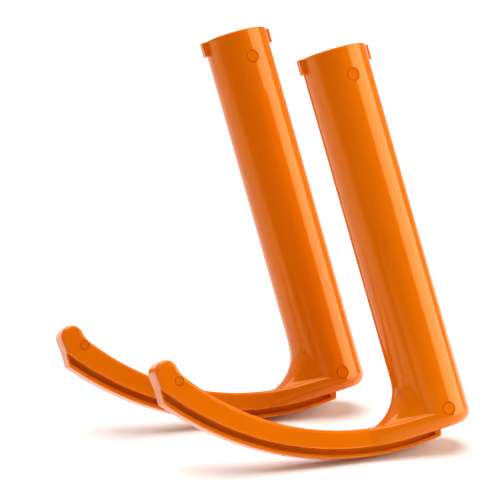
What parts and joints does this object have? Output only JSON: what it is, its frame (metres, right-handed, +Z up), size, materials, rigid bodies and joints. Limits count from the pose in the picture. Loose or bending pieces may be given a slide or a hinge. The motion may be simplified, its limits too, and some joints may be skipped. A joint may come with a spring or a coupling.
{
  "type": "leaf grabber hands",
  "caption": "Matched pair of moulded hand grips: a hollow tube with mouth lugs and a curved arm with a T-rail along its outside, ending in a rounded tip.",
  "frame": {"origin": "on the floor, under the middle of the pair's box", "axes": "+Z up from the floor, arms point along -X, the rear hand is towards +Y"},
  "size_m": [0.1862, 0.1716, 0.196],
  "materials": {
    "orange_plastic": "glossy, slightly translucent orange moulding"
  },
  "bodies": {
    "rear": {"rear_tube": "orange_plastic", "rear_arm": "orange_plastic"},
    "front": {"front_tube": "orange_plastic", "front_arm": "orange_plastic"}
  },
  "joints": [
    {"name": "lift_front_away", "type": "slide", "parent": "rear", "child": "front", "axis": [0, -1, 0], "range_m": [0, 0.06]}
  ]
}
